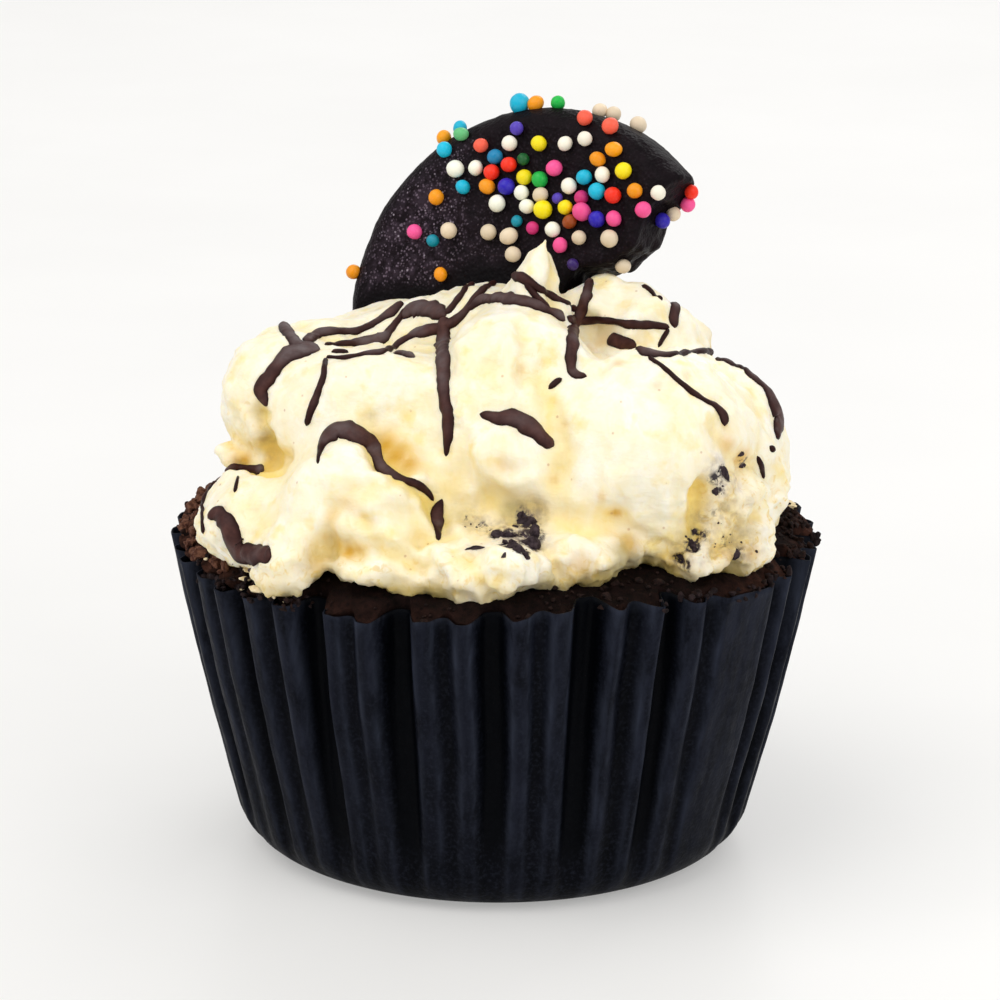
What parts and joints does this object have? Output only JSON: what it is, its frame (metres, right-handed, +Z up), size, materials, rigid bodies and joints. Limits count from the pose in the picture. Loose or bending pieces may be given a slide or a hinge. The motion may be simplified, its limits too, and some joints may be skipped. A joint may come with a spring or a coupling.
{
  "type": "cupcake",
  "caption": "Chocolate cupcake in a pleated dark paper case, with a lumpy mound of pale frosting and half a round chocolate biscuit standing in it.",
  "frame": {"origin": "centre of the case's flat base, where it rests on the table", "axes": "+Z up along the case's axis; -Y towards the side shown in front; +X to the right of that side"},
  "size_m": [0.0692, 0.069, 0.0771],
  "materials": {
    "paper_case": "semi-matt greaseproof paper",
    "cake": "matt crumb",
    "frosting": "soft satin",
    "chocolate_half_disc": "satin with sugar grains"
  },
  "bodies": {
    "root": {"paper_case": "paper_case", "cake": "cake", "frosting": "frosting", "chocolate_half_disc": "chocolate_half_disc"}
  },
  "joints": []
}
